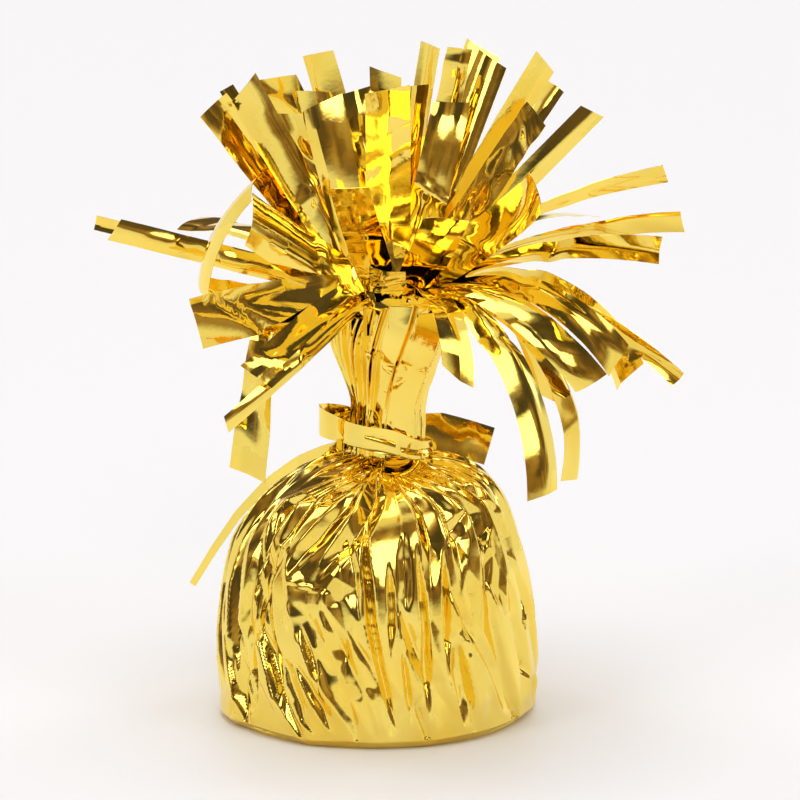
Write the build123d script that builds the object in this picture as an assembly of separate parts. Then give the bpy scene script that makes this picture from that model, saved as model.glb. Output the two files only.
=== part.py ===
from build123d import *
import math
import os

# Balloon weight: a cast dome wrapped in metallised film. The film is drawn in at a neck and bound with a film
# ribbon. Above the neck it opens as a pleated collar, and a tuft of film strips grows out of the collar.
# Millimetres and degrees. The origin is the centre of the foot on the ground, +Z is up, and -Y is the front.

# Film
FILM = 0.25
CLEAR = 0.3

# Wrapped weight
FOOT_RADIUS = 31.9
FOOT_ROUND = 1.5
DOME_HEIGHT = 52.6
SIDE_TAPER = 0.04
DOME_RISE = 3.5
DOME_ROUND = 3.0
DOME_STATIONS = (0.18, 0.42, 0.62, 0.77, 0.87, 0.94, 0.98)
CORE_SLACK = 1.4

# Neck and collar
NECK_RADIUS = 7.2
NECK_LENGTH = 6.6
NECK_SHIFT = 2.4
SHIFT_START = 34.0
SHOULDER_BLEND = 0.4
COLLAR_RADIUS = 12.8
COLLAR_HEIGHT = 22.7
COLLAR_FLARE = 21.0
RIM_RADIUS = 12.6
RIM_DRAW = 9.0
COLLAR_STATIONS = (0.14, 0.28, 0.42, 0.58, 0.8, 1.0)

# Folds of the wrap: depth of a middling fold at each level, and how uneven neighbouring folds are
FOLD_COUNT = 22
FOOT_FOLD = 0.3
SHOULDER_FOLD = 2.0
NECK_FOLD = 0.8
COLLAR_FOLD = 1.5
FOLD_SHARES = (1.0, 0.6, 0.85, 0.45, 1.0, 0.7, 0.5)
FOLD_SLIPS = (0.0, 0.16, -0.12, 0.08, -0.18)

# Tie: a ribbon wound once and a bit round the neck, with a loose end at the left and a wide tail at the right
TIE_THICK = 0.5
TIE_WIDTH = 2.4
TIE_FRONT_WIDTH = 4.4
TIE_END_WIDTH = 1.4
TIE_TAIL_WIDTH = 7.4
TIE_PITCH = 2.9
TIE_LIFT = 1.6
TIE_STEP = 15
TIE_STATION = 2.0
TIE_START_ANGLE = 180
TIE_TURN = 450
TIE_END_ROUTE = ((-36.4, -6.5, 27.0), (-32.0, -8.0, 34.5), (-27.0, -9.2, 42.0), (-21.0, -10.0, 48.6),
                 (-15.0, -9.6, 52.8), (-10.0, -7.4, 54.4), (-6.4, -4.4, 54.6))
TIE_TAIL_ROUTE = ((7.5, 7.4, 57.6), (12.5, 8.2, 56.4), (17.5, 8.9, 54.9), (22.6, 9.2, 53.2))

# Tuft: where the strips leave the gathered stem, and how they splay and widen
CROWN_RISE = 0.2
ROOT_RING = 9.6
ROOT_MARGIN = 0.7
FULL_LEAN = 80.0
ROOT_SPREAD = 0.7
ROOT_WIDTH = 1.4
OPEN_LENGTH = 17.0
SPLAY_LENGTH = 6.0
CREASE_LENGTH = 5.0
PATH_STEP = 1.0
STATION_STEPS = 3
CREASED_STATION_STEPS = 2

# Strips by ring: azimuth from +X, lean from the vertical, roll about its own line, bend and twist along its
# length, length and width
HEART_STRIPS = (
    (62, 16, -66, 3, 12, 51, 4.0),
    (141, 18, 40, 5, 30, 50, 5.5),
    (152, 7, 45, 8, 10, 42, 5.0),
    (0, 6, -70, 2, 8, 43, 4.0),
    (16, 14, -60, 2, 10, 51, 4.5),
    (270, 9, 0, 2, 6, 44, 7.6),
    (92, 14, -5, 5, 10, 45, 5.5),
)
UPRIGHT_STRIPS = (
    (15, 30, -92, 2, 8, 54, 4.5),
    (54, 33, -36, 4, 10, 56, 7.0),
    (96, 34, 10, 6, 10, 47, 6.5),
    (134, 36, 42, -4, 15, 49, 6.5),
    (174, 25, 70, 4, 15, 40, 4.5),
    (191, 32, 64, 6, 10, 49, 6.5),
    (208, 19, 118, 24, 6, 41, 7.4),
    (333, 18, -118, 26, -6, 41, 6.4),
    (33, 24, -50, 2, 10, 51, 6.0),
    (157, 18, 48, 6, 12, 43, 6.0),
)
LEANING_STRIPS = (
    (2, 42, -88, 0, 5, 51, 4.2),
    (33, 43, -54, 3, 10, 53, 5.6),
    (66, 52, -20, 8, 10, 48, 6.5),
    (96, 54, 0, 10, 10, 48, 6.5),
    (121, 52, 25, 8, 10, 46, 6.0),
    (166, 38, 80, 2, 8, 50, 2.6),
    (187, 41, 64, 2, 8, 49, 6.5),
    (212, 53, 70, 12, 6, 31, 9.4),
    (259, 54, -15, 10, 10, 44, 6.5),
    (317, 52, 40, 10, 50, 46, 6.6),
    (350, 37, -62, -4, 10, 45, 6.5),
    (295, 51, 10, -14, 8, 27, 7.4),
)
SPREADING_STRIPS = (
    (14, 55, 10, 34, 70, 56, 3.4),
    (356, 58, 14, 36, 66, 55, 4.0),
    (346, 67, 16, 40, 66, 53, 5.0),
    (42, 66, -10, 40, 14, 52, 6.5),
    (76, 70, 0, 40, 10, 50, 6.5),
    (108, 70, 0, 25, 10, 46, 6.5),
    (146, 66, 10, 15, 10, 46, 6.5),
    (170, 74, 84, 0, 4, 54, 2.6),
    (186, 80, 86, 0, 4, 48, 4.0),
    (291, 71, 10, 66, 10, 46, 6.0),
    (270, 74, 0, 8, 10, 36, 6.0),
)
DROOPING_STRIPS = (
    (340, 77, 0, 90, -50, 44, 6.5),
    (18, 80, 10, 100, 50, 52, 7.0),
    (3, 92, 10, 66, 80, 56, 3.0),
    (304, 92, 0, 82, 10, 64, 6.5),
    (46, 84, 0, 90, 10, 54, 6.5),
    (88, 86, 0, 95, 10, 54, 6.5),
    (124, 84, 0, 35, 10, 44, 6.5),
    (219, 102, -20, 6, 54, 51, 6.6),
    (229, 95, 60, 22, 34, 42, 8.4),
    (325, 97, 0, 92, 10, 57, 4.6),
    (239, 100, 40, 20, 10, 38, 6.2),
    (250, 108, 45, 66, 12, 48, 2.6),
    (317, 73, -10, 88, -40, 47, 6.5),
    (196, 99, 20, -84, 40, 62, 6.6),
)
RINGS = {
    "heart_strip": HEART_STRIPS,
    "upright_strip": UPRIGHT_STRIPS,
    "leaning_strip": LEANING_STRIPS,
    "spreading_strip": SPREADING_STRIPS,
    "drooping_strip": DROOPING_STRIPS,
}

# Two strips have one sharp crease each: its distance from the root and its angle
CREASES = {
    "drooping_strip_08": (23.0, 60.0),
    "drooping_strip_14": (32.0, -60.0),
}

# Levels that follow from the sizes above
NECK_BOTTOM = DOME_HEIGHT + SHOULDER_BLEND
NECK_TOP = NECK_BOTTOM + NECK_LENGTH
RIM_LEVEL = NECK_TOP + COLLAR_HEIGHT
CROWN_LEVEL = RIM_LEVEL + CROWN_RISE
NECK_BORE = NECK_RADIUS - NECK_FOLD - FILM - CLEAR


def ease(share):
    """Smooth step from 0 to 1."""
    share = min(max(share, 0.0), 1.0)
    return share * share * (3 - 2 * share)


def between(places, values, place):
    """Value at one place of a list of values given at rising places."""
    for low, high, start, stop in zip(places, places[1:], values, values[1:]):
        if place <= high:
            return start + (stop - start) * (place - low) / (high - low)
    return values[-1]


def turn_about(vector, axis, angle):
    """Vector turned by an angle about an axis of unit length."""
    swing = math.radians(angle)
    still = axis * (axis.dot(vector) * (1 - math.cos(swing)))
    return vector * math.cos(swing) + axis.cross(vector) * math.sin(swing) + still


def dome_radius(level):
    """Ridge radius of the wrap on the weight, before it runs into the neck."""
    rest = 1 - min(level / DOME_HEIGHT, 1.0) ** DOME_RISE
    return (FOOT_RADIUS - SIDE_TAPER * level) * rest ** (1 / DOME_ROUND)


def wrap_radius(level):
    """Ridge radius of the wrap at any level above the rounded foot."""
    if level <= NECK_TOP:
        return max(dome_radius(level), NECK_RADIUS)
    flare = NECK_RADIUS + (COLLAR_RADIUS - NECK_RADIUS) * ease((level - NECK_TOP) / COLLAR_FLARE)
    return flare - (COLLAR_RADIUS - RIM_RADIUS) * ease(1 - (RIM_LEVEL - level) / RIM_DRAW)


def fold_depth(level):
    """Depth of a full fold of the wrap at one level."""
    if level < DOME_HEIGHT:
        return FOOT_FOLD + (SHOULDER_FOLD - FOOT_FOLD) * (level / DOME_HEIGHT) ** 2
    return NECK_FOLD + (COLLAR_FOLD - NECK_FOLD) * ease((level - NECK_TOP) / COLLAR_FLARE)


def axis_shift(level):
    """Sideways offset of the wrap's middle: the neck stands a little to the right of the foot."""
    return NECK_SHIFT * ease((level - SHIFT_START) / (NECK_BOTTOM - SHIFT_START))


def wrap_levels():
    """Levels at which the wrap's section is given."""
    dome = [FOOT_ROUND] + [share * DOME_HEIGHT for share in DOME_STATIONS]
    neck = [NECK_BOTTOM, NECK_TOP]
    collar = [NECK_TOP + share * COLLAR_HEIGHT for share in COLLAR_STATIONS]
    return dome + neck + collar


def folded_ring(level, radius, depth):
    """Closed outline with a ridge and a valley for each fold."""
    points = []
    for fold in range(FOLD_COUNT):
        slip = FOLD_SLIPS[fold % len(FOLD_SLIPS)]
        share = FOLD_SHARES[fold % len(FOLD_SHARES)]
        for place, reach in ((fold + slip, radius), (fold + 0.5, radius - depth * share)):
            angle = math.radians(360 * place / FOLD_COUNT)
            points.append((axis_shift(level) + reach * math.cos(angle), reach * math.sin(angle), level))
    return make_face(Polyline(*points, close=True))


def wrap_profile(inset):
    """Levels, ridge radii and fold depths of the wrap, set in square to its wall."""
    profile = [(inset, FOOT_RADIUS - FOOT_ROUND, FOOT_FOLD)]
    tiny = 0.01
    for level in wrap_levels():
        slope = (wrap_radius(level + tiny) - wrap_radius(level - tiny)) / (2 * tiny)
        steep = math.hypot(1, slope)
        drop = 0 if level >= RIM_LEVEL else inset * -slope / steep
        profile.append((level - drop, wrap_radius(level) - inset / steep, fold_depth(level)))
    return profile


def foil_wrap():
    """Film from under the weight up to the collar's rim: flat below, folded all round, open at the top."""
    outer, inner = (
        loft([folded_ring(*ring) for ring in wrap_profile(inset)], ruled=True)
        for inset in (0, FILM)
    )
    return outer - inner


def turned(outline, middle):
    """Solid of revolution about an upright line: the outline lists radii and levels from bottom to top."""
    side = [(radius, 0, level) for radius, level in outline]
    ends = [(0, 0, outline[-1][1]), (0, 0, outline[0][1])]
    profile = make_face(Polyline(*side, *ends, close=True))
    return Pos(middle, 0, 0) * revolve(profile, Axis.Z)


def weight_core():
    """Cast dome that stands on the film and fills the wrap, with a little slack for the film's creases."""
    outline = [(FOOT_RADIUS - FOOT_ROUND - FOOT_FOLD - CLEAR - CORE_SLACK, FILM)]
    for level, radius, depth in wrap_profile(FILM + CLEAR)[1:]:
        if level < DOME_HEIGHT:
            outline.append((radius - depth - axis_shift(level) - CORE_SLACK, level))
    return turned(outline, 0)


def gathered_stem():
    """Bundle of film inside neck and collar, with a flat top that carries the strips."""
    outline = [(NECK_BORE, NECK_BOTTOM)]
    for level, radius, depth in wrap_profile(FILM + CLEAR)[1:]:
        if NECK_BOTTOM < level < RIM_LEVEL:
            outline.append((radius - depth, level))
    outline.append((ROOT_RING + ROOT_MARGIN, CROWN_LEVEL))
    return turned(outline, NECK_SHIFT)


def tie_route():
    """Middle line and width of the tie: loose end, turns round the neck, then the tail."""
    radius = NECK_RADIUS + CLEAR + TIE_THICK / 2
    end_count = len(TIE_END_ROUTE)
    tail_count = len(TIE_TAIL_ROUTE)
    route = []
    for index, point in enumerate(TIE_END_ROUTE):
        route.append((Vector(*point), TIE_END_WIDTH + (TIE_WIDTH - TIE_END_WIDTH) * index / end_count))
    for turn in range(0, TIE_TURN + 1, TIE_STEP):
        angle = math.radians(TIE_START_ANGLE - turn)
        level = NECK_BOTTOM + TIE_LIFT + TIE_PITCH * turn / 360
        facing = max(0.0, -math.sin(angle)) ** 2
        width = TIE_WIDTH + (TIE_FRONT_WIDTH - TIE_WIDTH) * facing
        point = Vector(NECK_SHIFT + radius * math.cos(angle), radius * math.sin(angle), level)
        route.append((point, width))
    for index, point in enumerate(TIE_TAIL_ROUTE):
        route.append((Vector(*point), TIE_WIDTH + (TIE_TAIL_WIDTH - TIE_WIDTH) * ease((index + 1) / tail_count)))
    return route


def neck_tie():
    """Film ribbon bound round the neck, one unbroken strip from its thin end to its wide tail."""
    route = tie_route()
    line = Spline(*[point for point, width in route])
    run = [0.0]
    for (start, _), (stop, _) in zip(route, route[1:]):
        run.append(run[-1] + (stop - start).length)
    stations = round(line.length / TIE_STATION)
    sections = []
    for index in range(stations + 1):
        place = index / stations
        along = line % place
        level_side = along.cross(Vector(0, 0, 1)).normalized()
        across = level_side.cross(along)
        width = between(run, [width for point, width in route], place * run[-1])
        sections.append(Plane(line @ place, x_dir=across, z_dir=along) * Rectangle(width, TIE_THICK))
    return loft(sections)


def tie_gap():
    """Least upright gap between one turn of the tie and the next."""
    route = tie_route()[len(TIE_END_ROUTE):-len(TIE_TAIL_ROUTE)]
    lap = 360 // TIE_STEP
    pairs = zip(route[:-lap], route[lap:])
    return min(high.Z - low.Z - (high_width + low_width) / 2 for (low, low_width), (high, high_width) in pairs)


def strip_width(distance, width):
    """Width of a strip at a distance from its root, where it is bunched."""
    return ROOT_WIDTH + (width - ROOT_WIDTH) * ease(distance / OPEN_LENGTH)


def film_strip(name, azimuth, lean, roll, bend, twist, length, width):
    """One strip: it rises from the stem, splays out, then bends and twists along its length."""
    angle = math.radians(azimuth)
    tilt = math.radians(roll)
    outward = Vector(math.cos(angle), math.sin(angle), 0)
    side = Vector(-math.sin(angle), math.cos(angle), 0)
    along = Vector(0, 0, 1)
    across = side * math.cos(tilt) + outward * math.sin(tilt)
    point = Vector(NECK_SHIFT, 0, CROWN_LEVEL) + outward * ROOT_RING * min(lean / FULL_LEAN, 1) ** ROOT_SPREAD
    crease_at, crease_angle = CREASES.get(name, (0.0, 0.0))
    spacing = CREASED_STATION_STEPS if name in CREASES else STATION_STEPS
    steps = round(length / PATH_STEP)
    step = length / steps
    sections = [Plane(point, x_dir=across, z_dir=along) * Rectangle(ROOT_WIDTH, FILM)]
    for index in range(steps):
        distance = (index + 0.5) * step
        point = point + along * (step / 2)
        if distance < SPLAY_LENGTH:
            along = turn_about(along, side, lean * step / SPLAY_LENGTH)
            across = turn_about(across, side, lean * step / SPLAY_LENGTH)
        else:
            turn = bend * step / (length - SPLAY_LENGTH)
            if abs(distance - crease_at) < CREASE_LENGTH / 2:
                turn += crease_angle * step / CREASE_LENGTH
            along = turn_about(along, across, turn)
            across = turn_about(across, along, -twist * step / (length - SPLAY_LENGTH))
        point = point + along * (step / 2)
        room_left = steps - 1 - index
        if room_left == 0 or ((index + 1) % spacing == 0 and room_left > spacing / 2):
            wide = strip_width(distance + step / 2, width)
            sections.append(Plane(point, x_dir=across, z_dir=along) * Rectangle(wide, FILM))
    return loft(sections)


def main():
    os.makedirs("parts", exist_ok=True)
    parts = {
        "weight_core": weight_core(),
        "foil_wrap": foil_wrap(),
        "gathered_stem": gathered_stem(),
        "neck_tie": neck_tie(),
    }
    for ring, strips in RINGS.items():
        for number, strip in enumerate(strips, 1):
            name = f"{ring}_{number:02d}"
            parts[name] = film_strip(name, *strip)
    for name, shape in parts.items():
        export_step(shape, f"parts/{name}.step")
    print(f"least gap between the tie's turns: {tie_gap():.2f} mm")


main()
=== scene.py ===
import math
import random

import bmesh
import bpy
import numpy as np
from mathutils import Matrix, Vector


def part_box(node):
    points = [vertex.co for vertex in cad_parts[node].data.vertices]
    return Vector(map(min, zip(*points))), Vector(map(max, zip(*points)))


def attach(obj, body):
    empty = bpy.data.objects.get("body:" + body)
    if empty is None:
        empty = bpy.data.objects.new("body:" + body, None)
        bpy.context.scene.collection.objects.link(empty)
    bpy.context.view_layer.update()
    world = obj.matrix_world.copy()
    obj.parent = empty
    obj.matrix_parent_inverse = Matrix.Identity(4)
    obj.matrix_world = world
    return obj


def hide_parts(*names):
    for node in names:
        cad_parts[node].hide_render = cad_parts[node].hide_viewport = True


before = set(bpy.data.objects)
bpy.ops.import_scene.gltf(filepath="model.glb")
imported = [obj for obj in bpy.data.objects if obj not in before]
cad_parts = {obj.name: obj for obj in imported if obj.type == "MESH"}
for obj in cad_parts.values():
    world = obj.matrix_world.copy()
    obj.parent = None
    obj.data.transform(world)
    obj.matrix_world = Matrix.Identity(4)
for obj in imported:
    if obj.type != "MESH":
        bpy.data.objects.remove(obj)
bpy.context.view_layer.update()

# Gold foil balloon weight. Sizes are in millimetres and degrees unless a comment says otherwise.
# Azimuth 0 is +X, 90 is +Y (the back), 180 is -X and 270 is -Y (the front).
MM = 0.001

# Camera: place, pitch and lens that give the photograph's view, and clip distances in metres
CAMERA_PLACE = (4.65, -750.0, 208.0)
CAMERA_PITCH = 10.95
CAMERA_LENS = 173.9
CAMERA_SENSOR = 36.0
CAMERA_CLIP = (0.05, 50.0)

# Floor: radius in metres, corners of its outline, colour and roughness
FLOOR_RADIUS = 9.0
FLOOR_CORNERS = 96
FLOOR_COLOUR = (0.94, 0.945, 0.985, 1)
FLOOR_ROUGHNESS = 0.45

# Surroundings that the film mirrors: the room's colours from dark to pale, then bands of the room by
# azimuth, elevation, half width, half height and softness of the edge, and bright panels by their level
# and the same
STUDIO_BASE = 0.92
ROOM_SCALE = 2.4
ROOM_DETAIL = 2.0
ROOM_COLOURS = (
    (0.40, (0.07, 0.06, 0.05)),
    (0.50, (0.13, 0.09, 0.06)),
    (0.58, (0.30, 0.19, 0.09)),
    (0.66, (0.48, 0.36, 0.20)),
    (0.76, (0.95, 0.92, 0.86)),
)
ROOM_BANDS = (
    (270, 30, 102, 23, 4),
    (90, 32, 52, 18, 4),
    (0, 46, 40, 16, 5),
    (180, 46, 40, 16, 5),
)
BRIGHT_PANELS = (
    (3.2, 278, 32, 12, 8, 2),
    (3.0, 222, 36, 10, 12, 2),
    (2.6, 322, 38, 12, 10, 2),
    (2.6, 90, 44, 14, 9, 2),
    (2.4, 40, 30, 8, 12, 2),
    (2.4, 140, 30, 8, 12, 2),
    (2.6, 0, 90, 190, 27, 2),
)

# Gold film: its colours and roughness, and the scale and detail of the noise behind its tint, gloss and
# crinkles
GOLD_DEEP = (0.93, 0.66, 0.10, 1)
GOLD_PALE = (0.95, 0.73, 0.15, 1)
TINT_NOISE = (60.0, 3.0)
TINT_STOPS = (0.35, 0.6)
GLOSS_NOISE = (220.0, 4.0)
GLOSS_STOPS = (0.35, 0.7)
GOLD_ROUGHNESS = (0.03, 0.11)
CRINKLE_NOISE = (420.0, 2.0)
CRINKLE_STRENGTH = 0.06
CRINKLE_HEIGHT = 0.4

# Cast weight: its colours, roughness and pores
CAST_DARK = (0.42, 0.40, 0.37, 1)
CAST_PALE = (0.62, 0.60, 0.56, 1)
CAST_NOISE = (350.0, 6.0)
CAST_ROUGHNESS = (0.75, 0.95)
PORE_STRENGTH = 0.4
PORE_DEPTH = 0.5

# Film: thickness, distances under which points join and slivers go, and the angles over which a fold of the
# stem, the tie or a strip is a sharp line
FILM = 0.08
JOIN_DISTANCE = 0.02
SLIVER_DISTANCE = 0.01
STEM_SHARP = 30
TIE_SHARP = 45
STRIP_SHARP = 20

# Seeds of the wrap's, the stem's, the tie's and the strips' own draws
WRAP_SEED = 20
STEM_SEED = 5
TIE_SEED = 8
STRIP_SEED = 7

# Wrapped weight, neck and collar, as in the solids
FOOT_RADIUS = 31.9
FOOT_ROUND = 1.5
DOME_HEIGHT = 52.6
SIDE_TAPER = 0.04
DOME_RISE = 3.5
DOME_ROUND = 3.0
NECK_RADIUS = 7.2
NECK_LENGTH = 6.6
NECK_SHIFT = 2.4
SHIFT_START = 34.0
NECK_BOTTOM = 53.0
COLLAR_RADIUS = 12.8
COLLAR_FLARE = 21.0
RIM_RADIUS = 12.6
RIM_DRAW = 9.0
NECK_TOP = NECK_BOTTOM + NECK_LENGTH
RIM_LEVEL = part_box("foil_wrap")[1].z / MM
RIM_EXTRA = 1.5
CROWN_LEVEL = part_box("gathered_stem")[1].z / MM

# Wrap's profile: points up the dome and up the neck and collar, a short run for its slope, and the steps
# that find the place of a point seen from the front
DOME_POINTS = 160
COLLAR_POINTS = 90
SLOPE_RUN = 0.3
RUN_STEPS = 40
DEPTH_STEPS = 4

# Wrap's grid: columns round it, height of a row, and rows of the underside by their distance from the
# foot's edge
WRAP_COLUMNS = 660
WRAP_ROW = 0.42
UNDERSIDE_RUNS = (-25.0, -16.0, -8.0, -3.0, -1.0)

# Limits of the wrap's folds: depth at the foot, at the shoulder and as a share of the neck's radius, how
# far they stand proud, and the radius under which they shrink
FOLD_LIMIT = 2.0
SHOULDER_LIMIT = 3.2
NECK_LIMIT = 0.21
PROUD_LIMIT = 0.9
FULL_FOLD_RADIUS = 17.0

# Creases: share of the width left at the ends, depth of a lapped fold's valley by its height, flanks of a
# groove's lips by its half width, and shares of the length over which the low and the high end fade out
CREASE_POINT = 0.3
FOLD_VALLEY = 1.5
GROOVE_FLANK = 3
FOLD_ENDS = (0.36, 0.3)
GROOVE_ENDS = (0.34, 0.3)
SEAM_ENDS = (0.25, 0.3)
SIDE_ENDS = (0.25, 0.3)
PLEAT_ENDS = (0.4, 0.25)
SHORT_GROOVE_ENDS = (0.3, 0.3)

# Collar panels: azimuth of each panel's free edge at the rim and at the neck, and how far its top lies
# below the rim
COLLAR_PANELS = (
    (18, 14, 2.0), (50, 45, 1.0), (84, 76, 2.6), (115, 108, 1.5), (146, 136, 2.5), (176, 156, 1.0),
    (203, 176, 2.4), (226, 194, 1.4), (247, 212, 2.6), (270, 236, 0.6), (299, 264, 0.0), (338, 316, 2.2),
)

# Steps beside the panels' edges, and lips before them: depths, turns in degrees, growth and fades
COLLAR_STEP = 2.0
NECK_STEP = 1.0
STEP_SHARES = (0.75, 1.2)
STEP_TURN = 2.0
STEP_GROWTH = 2.2
LIP_TURN = 2.6
LIP_DEPTH = 2.1
PANEL_FADE = 16.0
RIM_FADE = 8.0

# Dents across the collar's panels: azimuth, level, turn, half length, half width and height
COLLAR_DENTS = (
    (283, 70.6, -6, 4.4, 1.5, -0.9), (281, 67.2, 20, 3.4, 1.4, 0.6), (252, 73.4, -6, 2.8, 1.2, -0.8),
    (318, 69.8, 10, 2.4, 0.9, -0.6), (98, 71.4, 5, 4.0, 1.3, -0.7), (159, 70.2, -8, 4.0, 1.3, -0.7),
    (33, 72.8, 6, 4.0, 1.3, -0.7),
)

# Lapped folds of the front: height, width of the rise, of the lapped wall and of the recovery in degrees,
# shares of these widths at the low and the high end, then points as millimetres to the right of the axis
# and up, as seen over the upright middle plane
FRONT_FOLDS = (
    (0.9, 7, 5, 5, (0.6, 1.3), ((-24.4, 20.3), (-23.4, 11.6), (-22.0, 5.6), (-18.9, -1.1), (-13.1, -8.1))),
    (1.0, 7, 10, 6, (0.4, 1.5), ((-17.6, 22.0), (-14.6, 10.4), (-11.8, 5.6), (-6.7, -3.1), (-3.8, -8.1))),
    (0.7, 3, 3, 4, (1.2, 0.7), ((-16.8, 10.4), (-14.0, 3.0), (-11.2, -3.0), (-9.4, -5.6))),
    (0.6, 4, 4, 4, (0.8, 1.2), ((-21.0, 14.0), (-19.0, 5.0), (-15.8, -2.6), (-12.0, -6.6))),
    (0.8, 5, 5, 5, (1.2, 0.7), ((-25.4, 26.0), (-27.4, 14.0), (-28.6, 3.0), (-27.6, -2.4))),
    (0.9, 6, 6, 5, (1.4, 0.5), ((-5.6, 16.0), (-3.0, 6.0), (-0.6, -1.0), (1.6, -6.6))),
    (0.9, 5, 6, 5, (0.5, 1.6), ((10.8, 18.0), (13.2, 8.0), (16.0, 1.0), (18.4, -5.6))),
    (1.0, 5, 5, 5, (1.3, 0.6), ((14.0, 25.0), (17.6, 15.0), (22.4, 6.0), (26.0, -2.0))),
    (-1.2, 6, 2.5, 7, (1.2, 0.8), ((16.6, 14.0), (18.0, 7.0), (19.4, 0.0), (20.6, -5.6))),
    (-1.3, 8, 3, 7, (1.2, 0.8), ((21.8, 26.0), (23.3, 18.1), (25.4, 9.0), (27.0, 2.0), (28.2, -3.6))),
    (-1.2, 6, 3, 6, (1.0, 1.0), ((27.6, 30.0), (28.8, 18.0), (29.6, 6.0), (29.6, -1.6))),
    (1.0, 5, 5, 6, (1.4, 0.6), ((4.0, 22.0), (5.4, 12.0), (8.6, 3.0), (11.6, -4.6))),
    (0.9, 4, 5, 5, (0.6, 1.3), ((25.2, 22.0), (26.4, 13.0), (28.0, 5.0), (28.8, -1.0))),
    (1.0, 6, 6, 6, (1.2, 0.6), ((-11.4, 22.0), (-9.4, 12.0), (-5.8, 3.0), (-1.6, -5.6))),
    (0.9, 8, 8, 6, (1.0, 1.0), ((-0.3, 49.0), (-3.8, 41.0), (-8.0, 34.3), (-11.2, 29.7), (-12.6, 26.0))),
    (0.8, 8, 6, 6, (1.0, 1.0), ((-2.8, 46.0), (-10.6, 39.0), (-15.7, 33.0), (-18.3, 27.0))),
    (0.8, 6, 5, 5, (1.4, 0.8), ((3.0, 47.7), (7.5, 39.7), (8.8, 31.7), (9.6, 24.0))),
    (0.8, 6, 5, 5, (1.3, 0.8), ((4.9, 48.4), (12.0, 40.4), (14.6, 33.0), (16.5, 24.0))),
    (0.8, 6, 5, 5, (1.2, 0.8), ((6.2, 49.0), (17.8, 39.7), (20.4, 31.0), (21.0, 22.0))),
    (0.9, 7, 5, 6, (1.0, 1.0), ((7.5, 49.7), (22.3, 40.4), (26.2, 31.7), (28.1, 22.0))),
    (0.9, 7, 5, 6, (1.0, 1.0), ((-2.8, 48.4), (-13.1, 43.7), (-20.2, 35.0), (-24.1, 25.0), (-25.0, 16.0))),
    (0.8, 6, 5, 6, (1.0, 1.0), ((-2.8, 49.0), (-17.6, 42.4), (-24.1, 31.7), (-26.7, 18.0))),
)

# Deep grooves of the front: lip, depth, half width in degrees, then points as above
FRONT_GROOVES = (
    (0.5, 2.0, 2.4, ((-1.4, 40.0), (-1.5, 25.0), (-0.9, 17.0), (1.0, 7.6), (3.0, -0.4), (4.7, -5.6))),
    (0.3, 1.4, 1.8, ((2.6, 30.0), (3.3, 19.6), (3.0, 10.0))),
    (0.4, 1.9, 2.0, ((8.0, 34.0), (9.1, 25.0), (10.1, 15.0), (10.4, 4.9), (10.8, -5.0))),
    (0.4, 1.8, 2.0, ((13.4, 33.0), (14.2, 19.6), (14.6, 6.3))),
    (0.3, 1.9, 2.0, ((-21.6, 30.0), (-23.4, 18.0), (-24.8, 8.0), (-24.0, 1.0))),
    (0.3, 1.3, 1.6, ((-15.0, 17.0), (-12.6, 9.0), (-11.0, 2.0))),
    (0.3, 1.3, 1.6, ((16.2, 9.0), (17.0, 2.0), (18.2, -4.6))),
    (0.3, 1.3, 1.6, ((5.0, 14.0), (6.2, 5.0), (7.4, -4.0))),
)

# Plain creases of the front: height and half widths to the left and right in degrees, then points as
# above
FRONT_SEAMS = (
    (0.9, 8, 6, ((-17.0, 26.0), (-13.6, 27.0), (-10.6, 24.0), (-9.2, 16.0), (-8.6, 7.0))),
    (-1.0, 5, 3, ((-5.6, 38.0), (-4.4, 28.0), (-3.2, 18.0))),
    (0.8, 2, 8, ((-17.6, 32.0), (-17.4, 24.0), (-17.2, 15.0))),
    (-0.9, 2, 2.4, ((9.4, 3.6), (8.2, 0.3), (9.8, -3.9), (11.0, -8.2))),
    (-0.8, 3, 3, ((5.6, 36.0), (6.0, 26.0), (5.8, 18.0))),
    (0.7, 4, 4, ((24.8, 32.0), (25.6, 22.0), (26.6, 10.0))),
    (-0.8, 4, 5, ((18.0, 29.0), (19.6, 20.0), (19.8, 12.0))),
)

# Dents of the front: millimetres right and up, turn, half length, half width and height
FRONT_DENTS = (
    (-29.0, 0.0, 70, 3.0, 1.6, -0.9), (-18.6, 33.0, 75, 4.4, 2.0, 1.0), (-8.0, 27.0, 60, 10.0, 4.6, 0.9),
    (28.6, -2.0, 80, 3.0, 1.6, -0.9), (-25.0, -2.0, 60, 2.6, 1.4, 0.8), (22.0, 33.0, 60, 5.0, 2.6, 0.9),
    (16.0, 37.0, 50, 5.0, 2.4, -0.9), (-9.0, 43.0, 30, 4.4, 2.0, -0.8), (17.0, 16.0, 40, 5.0, 3.0, -1.0),
)

# Folds of the sides and back, from the first azimuth round to the last. Ranges: distances of the top from
# the neck and of the low end from the foot's edge, length of a short fold, slant, bow by the slant and step
# to the next fold. Then the share of grooves among the short folds.
SIDE_START = 324
SIDE_STOP = 574
SIDE_TOP = (2.0, 30.0)
SIDE_FOOT = (0.3, 7.0)
SIDE_SHORT = (14.0, 34.0)
SIDE_SLANT = (7.0, 26.0)
SIDE_BOW = (0.2, 0.5)
SIDE_STEP = (6.0, 11.0)
GROOVE_SHARE = 0.5

# Ranges of a side fold: height, rise, wall, recovery, and shares of the width at the low and the high
# end. A groove's are its lip, depth and half width.
LONG_FOLD = ((0.7, 1.1), (4, 8), (3, 8), (4, 7), (0.6, 1.5), (0.5, 1.4))
SHORT_FOLD = ((0.7, 1.1), (3, 6), (3, 9), (4, 6), (0.6, 1.5), (0.4, 1.0))
SHORT_GROOVE = ((0.2, 0.5), (0.9, 1.5), (1.6, 2.8))

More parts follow.
